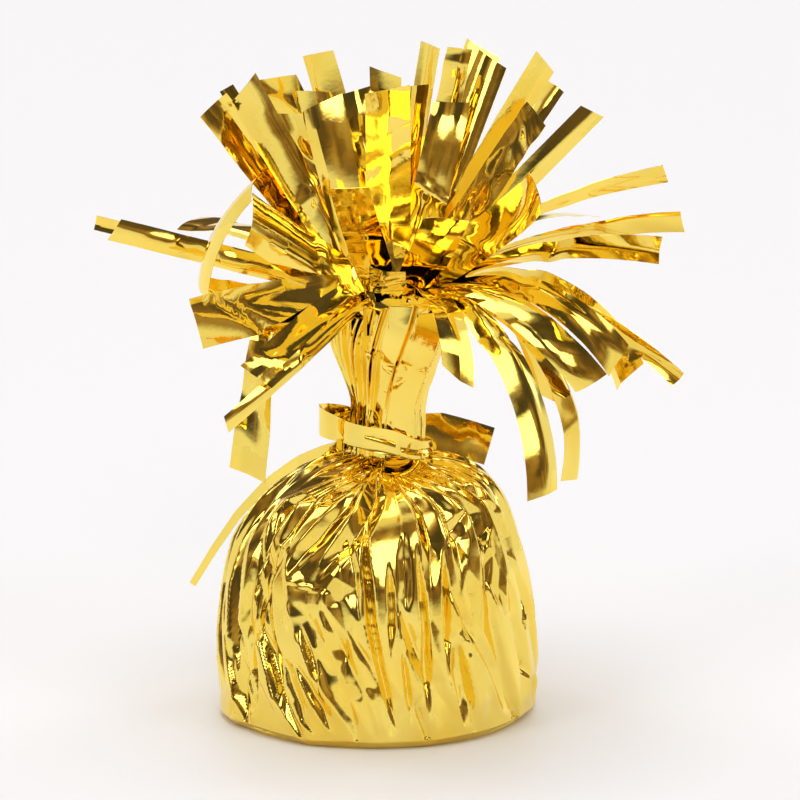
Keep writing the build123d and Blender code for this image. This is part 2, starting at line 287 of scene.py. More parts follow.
# Pleats of the shoulder: how many, how far they leave their even places, top above the neck and swing to
# the side, then ranges of the reach down the body, height, widths in degrees and share of the width at
# the low end
PLEAT_COUNT = 16
PLEAT_STRAY = 0.35
PLEAT_TOP = 9.0
PLEAT_SWING = 6
PLEAT_REACH = (16.0, 36.0)
PLEAT_HEIGHT = (0.45, 0.95)
PLEAT_RISE = (4.0, 7.0)
PLEAT_WALL = (1.6, 4.0)
PLEAT_SPREAD = (0.7, 1.4)

# Small crumples: how many, between which distances from the neck along the film, and how high. Then
# ranges of the half length, the share of the height, the turn and the half width by the half length.
CRUMPLES = (
    (10, -30.0, -5.0, 0.35),
    (20, -68.0, -32.0, 0.2),
    (16, 2.0, 11.0, 0.3),
    (14, 13.0, 26.0, 0.2),
)
CRUMPLE_LENGTH = (2.0, 6.0)
CRUMPLE_SHARE = (0.3, 1.0)
CRUMPLE_TURN = (50, 130)
CRUMPLE_WIDTH = (0.25, 0.45)

# Corners of the foot's edge: ranges of their height and spacing, the last azimuth and the fade upwards
CORNER_HEIGHT = (-1.2, 0.2)
CORNER_STEP = (7, 17)
CORNER_STOP = 352
CORNER_FADE = 12.0

# Tuft, as in the solids: azimuth, lean at the root, roll, bend, twist, length and width of each strip
ROOT_RING = 9.6
FULL_LEAN = 80.0
ROOT_SPREAD = 0.7
OPEN_LENGTH = 17.0
SPLAY_LENGTH = 6.0
HEART_STRIPS = (
    (62, 16, -66, 3, 12, 51, 4.0),
    (141, 18, 40, 5, 30, 50, 5.5),
    (152, 7, 45, 8, 10, 42, 5.0),
    (0, 6, -70, 2, 8, 43, 4.0),
    (16, 14, -60, 2, 10, 51, 4.5),
    (270, 9, 0, 2, 6, 44, 7.6),
    (92, 14, -5, 5, 10, 45, 5.5),
)
UPRIGHT_STRIPS = (
    (15, 30, -92, 2, 8, 54, 4.5),
    (54, 33, -36, 4, 10, 56, 7.0),
    (96, 34, 10, 6, 10, 47, 6.5),
    (134, 36, 42, -4, 15, 49, 6.5),
    (174, 25, 70, 4, 15, 40, 4.5),
    (191, 32, 64, 6, 10, 49, 6.5),
    (208, 19, 118, 24, 6, 41, 7.4),
    (333, 18, -118, 26, -6, 41, 6.4),
    (33, 24, -50, 2, 10, 51, 6.0),
    (157, 18, 48, 6, 12, 43, 6.0),
)
LEANING_STRIPS = (
    (2, 42, -88, 0, 5, 51, 4.2),
    (33, 43, -54, 3, 10, 53, 5.6),
    (66, 52, -20, 8, 10, 48, 6.5),
    (96, 54, 0, 10, 10, 48, 6.5),
    (121, 52, 25, 8, 10, 46, 6.0),
    (166, 38, 80, 2, 8, 50, 2.6),
    (187, 41, 64, 2, 8, 49, 6.5),
    (212, 53, 70, 12, 6, 31, 9.4),
    (259, 54, -15, 10, 10, 44, 6.5),
    (317, 52, 40, 10, 50, 46, 6.6),
    (350, 37, -62, -4, 10, 45, 6.5),
    (295, 51, 10, -14, 8, 27, 7.4),
)
SPREADING_STRIPS = (
    (14, 55, 10, 34, 70, 56, 3.4),
    (356, 58, 14, 36, 66, 55, 4.0),
    (346, 67, 16, 40, 66, 53, 5.0),
    (42, 66, -10, 40, 14, 52, 6.5),
    (76, 70, 0, 40, 10, 50, 6.5),
    (108, 70, 0, 25, 10, 46, 6.5),
    (146, 66, 10, 15, 10, 46, 6.5),
    (170, 74, 84, 0, 4, 54, 2.6),
    (186, 80, 86, 0, 4, 48, 4.0),
    (291, 71, 10, 66, 10, 46, 6.0),
    (270, 74, 0, 8, 10, 36, 6.0),
)
DROOPING_STRIPS = (
    (340, 77, 0, 90, -50, 44, 6.5),
    (18, 80, 10, 100, 50, 52, 7.0),
    (3, 92, 10, 66, 80, 56, 3.0),
    (304, 92, 0, 82, 10, 64, 6.5),
    (46, 84, 0, 90, 10, 54, 6.5),
    (88, 86, 0, 95, 10, 54, 6.5),
    (124, 84, 0, 35, 10, 44, 6.5),
    (219, 102, -20, 6, 54, 51, 6.6),
    (229, 95, 60, 22, 34, 42, 8.4),
    (325, 97, 0, 92, 10, 57, 4.6),
    (239, 100, 40, 20, 10, 38, 6.2),
    (250, 108, 45, 66, 12, 48, 2.6),
    (317, 73, -10, 88, -40, 47, 6.5),
    (196, 99, 20, -84, 40, 62, 6.6),
)
RINGS = {
    "heart_strip": HEART_STRIPS,
    "upright_strip": UPRIGHT_STRIPS,
    "leaning_strip": LEANING_STRIPS,
    "spreading_strip": SPREADING_STRIPS,
    "drooping_strip": DROOPING_STRIPS,
}

# Sharp creases of two strips: distance from the root and angle, over a short length
CREASES = {
    "drooping_strip_08": (23.0, 60.0),
    "drooping_strip_14": (32.0, -60.0),
}
CREASE_LENGTH = 5.0

# Strip's grid: width by the solid's, length of a row, columns, and how deep the root goes below the crown
STRIP_FULLNESS = 1.14
STRIP_STEP = 0.8
STRIP_COLUMNS = 8
ROOT_SINK = 5.0

# Strip's root: share of the width shown, then height of its pleats, their shares, length and columns
ROOT_SHARE = 0.75
ROOT_PLEAT = 0.35
ROOT_PLEAT_SHARES = (0.3, 1.0)
ROOT_PLEAT_LENGTH = (6, 13)
ROOT_PLEAT_COLUMNS = 3

# Strip's form: curl of its section and lengthwise fold by its half width, place and drift of that fold by
# its half width, curl of its tip and where that starts, and slant of its cut
STRIP_CURL = 0.26
STRIP_FOLD = (0.08, 0.26)
STRIP_FOLD_PLACE = 0.5
STRIP_FOLD_DRIFT = 0.5
TIP_CURL = 2.6
TIP_START = 0.55
CUT_SLANT = 0.45

# Wrinkles across a strip: how many, clear lengths at the root and in all, crowding to the root, slant,
# height, reach
KINK_COUNT = (2, 5)
KINK_START = 4
KINK_CLEAR = 7
KINK_CROWDING = 1.4
KINK_SLANT = 1.1
KINK_HEIGHT = (0.15, 0.65)
KINK_REACH = (2.0, 7.0)

# Gathered stem: level, radius and depth of the folds of each row, how uneven the folds are, and its
# ragged peak
STEM_FOLDS = 9
STEM_ROWS = (
    (NECK_BOTTOM, 5.2, 0.3),
    (NECK_TOP, 5.2, 0.4),
    (NECK_TOP + 6, 6.0, 0.8),
    (NECK_TOP + 13, 8.2, 1.0),
    (CROWN_LEVEL - 4, 9.6, 0.8),
    (CROWN_LEVEL - 1, 11.0, 0.6),
    (CROWN_LEVEL + 1.5, 11.0, 0.8),
    (CROWN_LEVEL + 4, 9.4, 1.2),
    (CROWN_LEVEL + 7, 7.6, 1.4),
    (CROWN_LEVEL + 11, 5.2, 1.2),
    (CROWN_LEVEL + 16, 1.6, 0.4),
)
STEM_SLIP = 0.3
STEM_DEPTHS = (0.4, 1.3)
STEM_RAGGED = 0.7

# Tie: as in the solid, with the front turn wider, tilted and pulled out into a loop at the left
TIE_WIDTH = 2.4
TIE_FRONT_WIDTH = 5.0
TIE_FRONT_POWER = 1.5
TIE_END_WIDTH = 1.4
TIE_TAIL_WIDTH = 7.4
TIE_PITCH = 2.9
TIE_LIFT = 0.7
TIE_CLEAR = 1.45
TIE_TURN = 450
TIE_STEP = 15
TIE_TILT = 1.7
TIE_TILT_START = 90
TIE_LOOP = 5.5
TIE_LOOP_AT = 348
TIE_LOOP_HALF = 90
TIE_LOOP_POWER = 3
TIE_LOOP_LIFT = 1.2
TIE_LOOP_WIDTH = 5.8
TIE_END_ROUTE = (
    (-36.4, -6.5, 27.0),
    (-32.0, -8.0, 34.5),
    (-27.0, -9.2, 42.0),
    (-21.0, -10.0, 48.6),
    (-15.0, -9.6, 52.8),
    (-10.0, -7.4, 54.4),
    (-6.4, -4.4, 54.6),
)
TIE_TAIL_ROUTE = (
    (7.5, 7.4, 56.0),
    (12.5, 8.2, 54.8),
    (17.5, 8.9, 53.3),
    (22.6, 9.2, 51.6),
)

# Tie's ribbon: length of a row, columns and rounding of its line, then its lengthwise folds, which swell
# and sway along it, and the curl and lean of its tail
TIE_STATION = 0.4
TIE_COLUMNS = 6
TIE_ROUNDING = 10
TIE_FOLD = 0.26
TIE_FOLD_SHARES = (0.3, 1.0)
TIE_WAVE_RATE = (0.1, 0.3)
TIE_WAVE_START = (0, 6.3)
TIE_SWELL = 0.6
TIE_SWAY = 0.25
TIE_SWAY_RATE = 1.7
TIE_TAIL_EASE = 6
TIE_TAIL_CURL = 1.2
TIE_TAIL_LEAN = 0.35


def ease(share):
    """Smooth step from 0 to 1."""
    share = min(max(share, 0.0), 1.0)
    return share * share * (3 - 2 * share)


def grid_faces(rows, columns, closed):
    """Faces of a grid of points, row by row, whose rows are closed rings or open lines."""
    faces = []
    for row in range(rows - 1):
        low, high = row * columns, (row + 1) * columns
        for column in range(columns if closed else columns - 1):
            after = (column + 1) % columns
            faces.append((low + column, low + after, high + after, high + column))
    return faces


# Wrap: its profile from the middle of the underside to the collar's rim

def dome_radius(level):
    """Radius of the wrapped weight."""
    rest = 1 - min(level / DOME_HEIGHT, 1.0) ** DOME_RISE
    return (FOOT_RADIUS - SIDE_TAPER * level) * rest ** (1 / DOME_ROUND)


def wrap_radius(level):
    """Radius of the wrapped weight, the neck or the collar."""
    if level <= NECK_TOP:
        return max(dome_radius(level), NECK_RADIUS)
    flare = NECK_RADIUS + (COLLAR_RADIUS - NECK_RADIUS) * ease((level - NECK_TOP) / COLLAR_FLARE)
    return flare - (COLLAR_RADIUS - RIM_RADIUS) * ease(1 - (RIM_LEVEL - level) / RIM_DRAW)


def axis_shift(level):
    """How far the axis leans to the right, up to the neck."""
    share = np.clip((level - SHIFT_START) / (NECK_BOTTOM - SHIFT_START), 0, 1)
    return NECK_SHIFT * share * share * (3 - 2 * share)


class Profile:
    """Half section of the wrap by the run, the distance along it from the foot's edge.

    A run below zero is on the underside.
    """

    def __init__(self):
        foot = FOOT_RADIUS - FOOT_ROUND
        levels = [DOME_HEIGHT * math.sin(math.pi / 2 * share) for share in np.linspace(0, 1, DOME_POINTS)]
        levels = [level for level in levels if level > FOOT_ROUND]
        levels += list(np.linspace(NECK_BOTTOM, RIM_LEVEL + RIM_EXTRA, COLLAR_POINTS))
        self.radii = np.array([0.0, foot] + [wrap_radius(level) for level in levels])
        self.levels = np.array([0.0, 0.0] + levels)
        steps = np.hypot(np.diff(self.radii), np.diff(self.levels))
        self.runs = np.concatenate([[0.0], np.cumsum(steps)]) - foot

    def at(self, run):
        """Radius and level at a run."""
        return np.interp(run, self.runs, self.radii), np.interp(run, self.runs, self.levels)

    def run_at(self, level):
        """Run at a level above the foot."""
        return float(np.interp(level, self.levels[1:], self.runs[1:]))

    def place(self, azimuths, runs, offsets):
        """Grid of points of the wrap, set out square to the profile by their offsets."""
        radii, levels = self.at(runs)
        below, above = self.at(runs - SLOPE_RUN), self.at(runs + SLOPE_RUN)
        rise, drop = above[1] - below[1], below[0] - above[0]
        size = np.maximum(np.hypot(rise, drop), SLOPE_RUN)
        radii = radii + offsets * rise / size
        levels = np.maximum(levels + offsets * drop / size, 0.0)
        angles = np.radians(azimuths)
        across = axis_shift(levels) + radii * np.cos(angles)
        return np.stack([across, radii * np.sin(angles), levels], axis=-1)

    def front(self, across, up):
        """Azimuth and run of the front point that is seen over a point of the upright middle plane."""
        low, high = 0.0, self.run_at(NECK_BOTTOM)
        distance, eye = -CAMERA_PLACE[1], CAMERA_PLACE[2]
        for _ in range(RUN_STEPS):
            run = (low + high) / 2
            radius, level = self.at(run)
            near = radius
            for _ in range(DEPTH_STEPS):
                wide = across * (distance - near) / distance - axis_shift(level)
                near = math.sqrt(max(radius * radius - wide * wide, 0.0))
            seen = eye + (level - eye) * distance / (distance - near)
            if seen < up:
                low = run
            else:
                high = run
        return 360 - math.degrees(math.acos(max(-1.0, min(1.0, wide / radius)))), run


PROFILE = Profile()
RUN_NECK = PROFILE.run_at(NECK_BOTTOM)
RUN_NECK_TOP = PROFILE.run_at(NECK_TOP)
RUN_RIM = PROFILE.run_at(RIM_LEVEL + RIM_EXTRA)


# Wrap: its folds and its mesh

def flat_sides(azimuths, places, reaches):
    """Reach at each azimuth of a closed outline with straight sides between corners at places and reaches."""
    corners = np.radians([places[-1] - 360, *places, places[0] + 360])
    reaches = np.array([reaches[-1], *reaches, reaches[0]])
    angles = np.radians(azimuths)
    after = np.searchsorted(corners, angles)
    before = after - 1
    rest, gone = corners[after] - angles, angles - corners[before]
    return np.sin(rest + gone) / (np.sin(gone) / reaches[after] + np.sin(rest) / reaches[before])


class WrapField:
    """Offsets of the wrap from its smooth profile on a grid of runs and azimuths."""

    def __init__(self):
        steps = round(RUN_RIM / WRAP_ROW)
        self.runs = np.concatenate([[PROFILE.runs[0]], UNDERSIDE_RUNS, np.linspace(0, RUN_RIM, steps + 1)])
        self.azimuths = np.arange(WRAP_COLUMNS) * 360 / WRAP_COLUMNS
        self.radii, self.levels = PROFILE.at(self.runs)
        self.offsets = np.zeros((len(self.runs), WRAP_COLUMNS))

    def away(self, azimuth):
        """Degrees from an azimuth, or from one azimuth for each row."""
        return (self.azimuths[None, :] - np.atleast_1d(azimuth)[:, None] + 180) % 360 - 180

    def crease(self, line, places, heights, ends, widths=(1, 1)):
        """Crease along a line of azimuths and runs: heights at degrees across it, faded out over its ends.

        The widths are shares of the places at its low and its high end.
        """
        line = sorted(line, key=lambda point: point[1])
        line_runs = [run for _, run in line]
        rows = np.nonzero((self.runs >= line_runs[0]) & (self.runs <= line_runs[-1]))[0]
        middle = np.interp(self.runs[rows], line_runs, [azimuth for azimuth, _ in line])
        share = (self.runs[rows] - line_runs[0]) / max(line_runs[-1] - line_runs[0], WRAP_ROW)
        fade = np.clip(np.minimum(share / ends[0], (1 - share) / ends[1]), 0, 1)[:, None]
        narrow = (CREASE_POINT + (1 - CREASE_POINT) * fade) * np.interp(share, (0, 1), widths)[:, None]
        size = fade * np.minimum(self.radii[rows] / FULL_FOLD_RADIUS, 1)[:, None]
        self.offsets[rows] += size * np.interp(self.away(middle) / narrow, places, heights)

    def seam(self, line, height, left, right, ends):
        """Ridge or valley with straight flanks."""
        self.crease(line, (-left, 0, right), (0, height, 0), ends)

    def fold(self, line, height, rise, wall, recovery, ends, widths):
        """Lapped fold: the film rises to a ridge, drops over a wall, and recovers."""
        places = (-rise, 0, wall, wall + recovery)
        self.crease(line, places, (0, height, -FOLD_VALLEY * height, 0), ends, widths)

    def groove(self, line, lip, depth, half, ends):
        """Deep narrow valley between two raised lips."""
        places = (-GROOVE_FLANK * half, -half, 0, half, GROOVE_FLANK * half)
        self.crease(line, places, (0, lip, -depth, lip / 2, 0), ends)

    def dent(self, azimuth, run, turn, half_length, half_width, height):
        """Short crease of any direction with four flat faces, highest in its middle."""
        rows = np.nonzero(np.abs(self.runs - run) <= half_length + half_width)[0]
        if len(rows) == 0:
            return
        across = np.radians(self.away(azimuth)) * self.radii[rows][:, None]
        up = (self.runs[rows] - run)[:, None]
        swing = math.radians(turn)
        along = across * math.cos(swing) + up * math.sin(swing)
        aside = up * math.cos(swing) - across * math.sin(swing)
        tent = np.clip(1 - np.abs(aside) / half_width - np.abs(along) / half_length, 0, 1)
        self.offsets[rows] += height * tent

    def panels(self, rng):
        """Overlapping flat panels of the collar, which run down through the neck and out on the shoulder."""
        steps = [rng.uniform(*STEP_SHARES) for _ in COLLAR_PANELS]
        for row, run in enumerate(self.runs):
            if run < RUN_NECK - PANEL_FADE:
                continue
            share = float(np.clip((run - RUN_NECK_TOP) / (RUN_RIM - RUN_NECK_TOP), 0, 1))
            grown = ease(share * STEP_GROWTH)
            depth = NECK_STEP + (COLLAR_STEP - NECK_STEP) * grown
            lip = LIP_DEPTH * grown
            top = self.radii[row]
            places, reaches = [], []
            for (rim, neck, _), step in zip(COLLAR_PANELS, steps):
                edge = neck + (rim - neck) * share
                places += [edge - 2 * LIP_TURN, edge - LIP_TURN, edge, edge + STEP_TURN]
                reaches += [top, top - lip * step, top, top - depth * step]
            fade = ease((run - RUN_NECK + PANEL_FADE) / PANEL_FADE)
            self.offsets[row] += fade * (flat_sides(self.azimuths, places, reaches) - top)

    def rim_drop(self):
        """How far each point lies below its place on the full profile, so that the rim's height is uneven."""
        edges = np.array([panel[0] for panel in COLLAR_PANELS])
        drops = np.array([panel[2] for panel in COLLAR_PANELS])
        drop = drops[np.searchsorted(edges, self.azimuths) % len(edges)]
        near = np.clip(1 - (RUN_RIM - self.runs) / RIM_FADE, 0, 1)
        return near[:, None] * drop[None, :]

    def foot(self, rng):
        """Cornered edge of the foot, which rounds off upwards."""
        corners, heights = [], []
        azimuth = 0.0
        while azimuth < CORNER_STOP:
            corners.append(azimuth)
            heights.append(rng.uniform(*CORNER_HEIGHT))
            azimuth += rng.uniform(*CORNER_STEP)
        low = np.interp(self.azimuths, corners, heights, period=360)
        fade = np.clip(1 - self.runs / CORNER_FADE, 0, 1) * (self.runs >= 0)
        self.offsets += fade[:, None] * low[None, :]

    def limited(self):
        """Offsets within the limits of depth and of standing proud."""
        climb = np.clip(self.levels / DOME_HEIGHT, 0, 1) ** 2
        limit = FOLD_LIMIT + (SHOULDER_LIMIT - FOLD_LIMIT) * climb
        limit = np.minimum(limit, np.where(self.levels > SHIFT_START, NECK_LIMIT * self.radii, limit))
        return np.clip(self.offsets, -limit[:, None], PROUD_LIMIT)


def crumple(field, rng, count, low, high, size):
    """Small creases strewn between two distances from the neck."""
    for _ in range(count):
        half_length = rng.uniform(*CRUMPLE_LENGTH)
        height = size * rng.uniform(*CRUMPLE_SHARE) * rng.choice((-1, 1))
        azimuth = rng.uniform(0, 360)
        run = RUN_NECK + rng.uniform(low, high)
        turn = rng.uniform(*CRUMPLE_TURN)
        field.dent(azimuth, run, turn, half_length, rng.uniform(*CRUMPLE_WIDTH) * half_length, height)


def drawn_fold(field, rng, line, ranges):
    """Lapped fold with its sizes drawn from ranges."""
    height, rise, wall, recovery, low, high = [rng.uniform(*limits) for limits in ranges]
    field.fold(line, height, rise, wall, recovery, SIDE_ENDS, (low, high))


def side_line(rng, azimuth, top, foot):
    """Bowed line down a side, which slants towards higher azimuths on its way down."""
    slant = rng.uniform(*SIDE_SLANT)
    bend = azimuth + slant * rng.uniform(*SIDE_BOW)
    return (azimuth, top), (bend, (top + foot) / 2), (azimuth + slant, foot)


def side_folds(field, rng):
    """Long lapped folds of the sides and back, with short ones and grooves near the foot between them."""
    azimuth = SIDE_START
    while azimuth < SIDE_STOP:
        line = side_line(rng, azimuth, RUN_NECK - rng.uniform(*SIDE_TOP), rng.uniform(*SIDE_FOOT))
        drawn_fold(field, rng, line, LONG_FOLD)
        azimuth += rng.uniform(*SIDE_STEP)
    azimuth = SIDE_START
    while azimuth < SIDE_STOP:
        foot = rng.uniform(*SIDE_FOOT)
        line = side_line(rng, azimuth, foot + rng.uniform(*SIDE_SHORT), foot)
        if rng.random() < GROOVE_SHARE:
            field.groove(line, *[rng.uniform(*limits) for limits in SHORT_GROOVE], SHORT_GROOVE_ENDS)
        else:
            drawn_fold(field, rng, line, SHORT_FOLD)
        azimuth += rng.uniform(*SIDE_STEP)


def shoulder_pleats(field, rng):
    """Clean pleats that spread from the neck and die out on the shoulder."""
    for index in range(PLEAT_COUNT):
        place = index + rng.uniform(-PLEAT_STRAY, PLEAT_STRAY)
        azimuth = SIDE_START + (SIDE_STOP - SIDE_START) * place / PLEAT_COUNT
        end = RUN_NECK - rng.uniform(*PLEAT_REACH)
        foot = azimuth + rng.uniform(-PLEAT_SWING, PLEAT_SWING)
        line = ((azimuth + PLEAT_SWING, RUN_NECK_TOP + PLEAT_TOP), (azimuth, RUN_NECK), (foot, end))
        height = rng.uniform(*PLEAT_HEIGHT) * rng.choice((-1, 1))
        rise, wall, recovery = [rng.uniform(*limits) for limits in (PLEAT_RISE, PLEAT_WALL, PLEAT_RISE)]
        field.fold(line, height, rise, wall, recovery, PLEAT_ENDS, (rng.uniform(*PLEAT_SPREAD), 1))


def front_line(points):
    """Azimuths and runs of points that are seen from the front."""
    return [PROFILE.front(*point) for point in points]


def wrap_mesh(rng):
    """Film from the underside to the collar's rim, folded and crumpled."""
    field = WrapField()
    shoulder_pleats(field, rng)
    for height, rise, wall, recovery, widths, points in FRONT_FOLDS:
        field.fold(front_line(points), height, rise, wall, recovery, FOLD_ENDS, widths)
    for lip, depth, half, points in FRONT_GROOVES:
        field.groove(front_line(points), lip, depth, half, GROOVE_ENDS)
    for height, left, right, points in FRONT_SEAMS:
        field.seam(front_line(points), height, left, right, SEAM_ENDS)
    for across, up, *dent in FRONT_DENTS:
        field.dent(*PROFILE.front(across, up), *dent)
    side_folds(field, rng)
    for patch in CRUMPLES:
        crumple(field, rng, *patch)
    for azimuth, level, *dent in COLLAR_DENTS:
        field.dent(azimuth, PROFILE.run_at(level), *dent)
    field.panels(rng)
    field.foot(rng)
    runs = field.runs[:, None] - field.rim_drop()
    points = PROFILE.place(field.azimuths[None, :], runs, field.limited())
    vertices = [Vector(point) for point in points.reshape(-1, 3)]
    return vertices, grid_faces(len(field.runs), WRAP_COLUMNS, closed=True)


# Tuft

def strip_frames(name, strip):
    """Frames from below the crown to a strip's tip: distance, middle point, direction, width direction."""
    azimuth, lean, roll, bend, twist, length, _ = strip
    angle, tilt = math.radians(azimuth), math.radians(roll)
    outward = Vector((math.cos(angle), math.sin(angle), 0))
    side = Vector((-math.sin(angle), math.cos(angle), 0))
    along = Vector((0, 0, 1))
    across = side * math.cos(tilt) + outward * math.sin(tilt)
    root = ROOT_RING * min(lean / FULL_LEAN, 1) ** ROOT_SPREAD
    point = Vector((NECK_SHIFT, 0, CROWN_LEVEL)) + outward * root
    crease_at, crease_angle = CREASES.get(name, (0.0, 0.0))
    frames = [(-ROOT_SINK, point - along * ROOT_SINK, along, across), (0.0, point, along, across)]
    steps = round(length / STRIP_STEP)
    step = length / steps
    for index in range(steps):
        distance = (index + 0.5) * step
        point = point + along * (step / 2)
        if distance < SPLAY_LENGTH:
            splay = Matrix.Rotation(math.radians(lean * step / SPLAY_LENGTH), 3, side)
            along, across = splay @ along, splay @ across
        else:
            turn = bend * step / (length - SPLAY_LENGTH)
            if abs(distance - crease_at) < CREASE_LENGTH / 2:
                turn += crease_angle * step / CREASE_LENGTH
            along = Matrix.Rotation(math.radians(turn), 3, across) @ along
            spin = -twist * step / (length - SPLAY_LENGTH)
            across = Matrix.Rotation(math.radians(spin), 3, along) @ across
        point = point + along * (step / 2)
        frames.append((distance + step / 2, point.copy(), along.copy(), across.copy()))
    return frames


def strip_kinks(rng, length):
    """Sharp wrinkles across a strip: place, slant, height and reach, more of them near the root."""
    kinks = []
    for _ in range(rng.randint(*KINK_COUNT)):
        place = KINK_START + (length - KINK_CLEAR) * rng.random() ** KINK_CROWDING
        slant = rng.uniform(-KINK_SLANT, KINK_SLANT)
        height = rng.uniform(*KINK_HEIGHT) * rng.choice((-1, 1))
        reach = rng.uniform(*KINK_REACH)
        kinks.append((place, slant, height, reach))
    return kinks


def strip_mesh(rng, name, strip):
    """Film strip, pleated lengthwise at its root, then open, with wrinkles across it and a slanted cut."""
    *_, length, width = strip
    half = STRIP_FULLNESS * width / 2
    columns = STRIP_COLUMNS + 1
    curl = rng.uniform(-STRIP_CURL, STRIP_CURL)
    tip_curl = rng.uniform(-1.0, 1.0) * TIP_CURL
    slant = rng.uniform(-CUT_SLANT, CUT_SLANT)
    sides = [(-1) ** (column // ROOT_PLEAT_COLUMNS) for column in range(columns)]
    pleats = [rng.uniform(*ROOT_PLEAT_SHARES) * side for side in sides]
    fold_at = rng.uniform(-STRIP_FOLD_PLACE, STRIP_FOLD_PLACE)
    fold_rise = rng.uniform(*STRIP_FOLD) * rng.choice((-1, 1))
    fold_drift = rng.uniform(-STRIP_FOLD_DRIFT, STRIP_FOLD_DRIFT)
    pleat_length = rng.uniform(*ROOT_PLEAT_LENGTH)
    kinks = strip_kinks(rng, length)
    vertices = []
    frames = strip_frames(name, strip)
    for distance, point, along, across in frames:
        out = max(distance, 0.0)
        open_share = ease(out / OPEN_LENGTH)
        shown = half * (ROOT_SHARE + (1 - ROOT_SHARE) * open_share)
        pleat_rise = ROOT_PLEAT * (1 - ease(out / pleat_length))
        normal = across.cross(along)
        reach = out / length
        for column in range(columns):
            share = 2 * column / STRIP_COLUMNS - 1
            place = share * shown
            rise = pleats[column] * pleat_rise + curl * half * share * share * open_share
            rise += tip_curl * max(0.0, (reach - TIP_START) / (1 - TIP_START)) ** 2
            rise += fold_rise * half * (1 - abs(share - fold_at - fold_drift * reach)) * open_share
            for at, lean_over, height, spread in kinks:
                gap = abs(distance - at - lean_over * place) / spread
                rise += height * max(0.0, 1 - gap) * open_share
            vertices.append(point + across * place + normal * rise + along * (slant * place * reach ** 3))
    return vertices, grid_faces(len(frames), columns, closed=False)


# Stem and tie

def stem_mesh(rng):
    """Bundle of pleated film inside the collar, drawn to a ragged peak between the strips."""
    count = 2 * STEM_FOLDS
    slips = [rng.uniform(-STEM_SLIP, STEM_SLIP) for _ in range(count)]
    depths = [rng.uniform(*STEM_DEPTHS) for _ in range(STEM_FOLDS)]
    vertices = []
    for level, radius, depth in STEM_ROWS:
        ragged = STEM_RAGGED * (level >= CROWN_LEVEL)
        for index in range(count):
            angle = math.radians(360 * (index + slips[index]) / count)
            reach = radius - (index % 2) * depth * depths[index // 2]
            reach += rng.uniform(-ragged, ragged) / 2
            height = level + rng.uniform(-ragged, ragged)
            vertices.append(Vector((NECK_SHIFT + reach * math.cos(angle), reach * math.sin(angle), height)))
    faces = grid_faces(len(STEM_ROWS), count, closed=True)
    faces.append(tuple(range(count - 1, -1, -1)))
    faces.append(tuple((len(STEM_ROWS) - 1) * count + index for index in range(count)))
    return vertices, faces


def tie_route():
    """Middle line of the tie, its width and how far it is gathered: loose end, turns with a loop, tail."""
    route = []
    for index, point in enumerate(TIE_END_ROUTE):
        route.append((point, TIE_END_WIDTH + (TIE_WIDTH - TIE_END_WIDTH) * index / len(TIE_END_ROUTE), 0.0))
    for turn in range(0, TIE_TURN + 1, TIE_STEP):
        angle = math.radians(180 - turn)
        facing = max(0.0, -math.sin(angle)) ** TIE_FRONT_POWER
        loop = max(0.0, math.cos(math.radians(turn - TIE_LOOP_AT))) ** TIE_LOOP_POWER
        loop *= turn > TIE_LOOP_AT - TIE_LOOP_HALF
        radius = NECK_RADIUS + TIE_CLEAR + TIE_LOOP * loop
        level = NECK_BOTTOM + TIE_LIFT + TIE_PITCH * turn / 360 + TIE_LOOP_LIFT * loop
        level -= TIE_TILT * math.cos(angle) * (turn > TIE_TILT_START)
        width = TIE_WIDTH + max((TIE_FRONT_WIDTH - TIE_WIDTH) * facing, (TIE_LOOP_WIDTH - TIE_WIDTH) * loop)
        point = (NECK_SHIFT + radius * math.cos(angle), radius * math.sin(angle), level)
        route.append((point, width, 1 - loop))
    for index, point in enumerate(TIE_TAIL_ROUTE):
        wide = ease(2 * (index + 1) / len(TIE_TAIL_ROUTE))
        route.append((point, TIE_WIDTH + (TIE_TAIL_WIDTH - TIE_WIDTH) * wide, 0.0))
    return route


def smooth_line(line, passes):
    """Line of points with its corners rounded off."""
    for _ in range(passes):
        inner = [(line[i - 1] + line[i] * 2 + line[i + 1]) / 4 for i in range(1, len(line) - 1)]
        line = [line[0]] + inner + [line[-1]]
    return line


def tie_folds(rng):
    """Lengthwise folds of the tie, one for each column of points: height, and rate and start of its wave."""
    folds = []
    for column in range(TIE_COLUMNS + 1):
        height = rng.uniform(*TIE_FOLD_SHARES) * (-1) ** column
        folds.append((height, rng.uniform(*TIE_WAVE_RATE), rng.uniform(*TIE_WAVE_START)))
    return folds


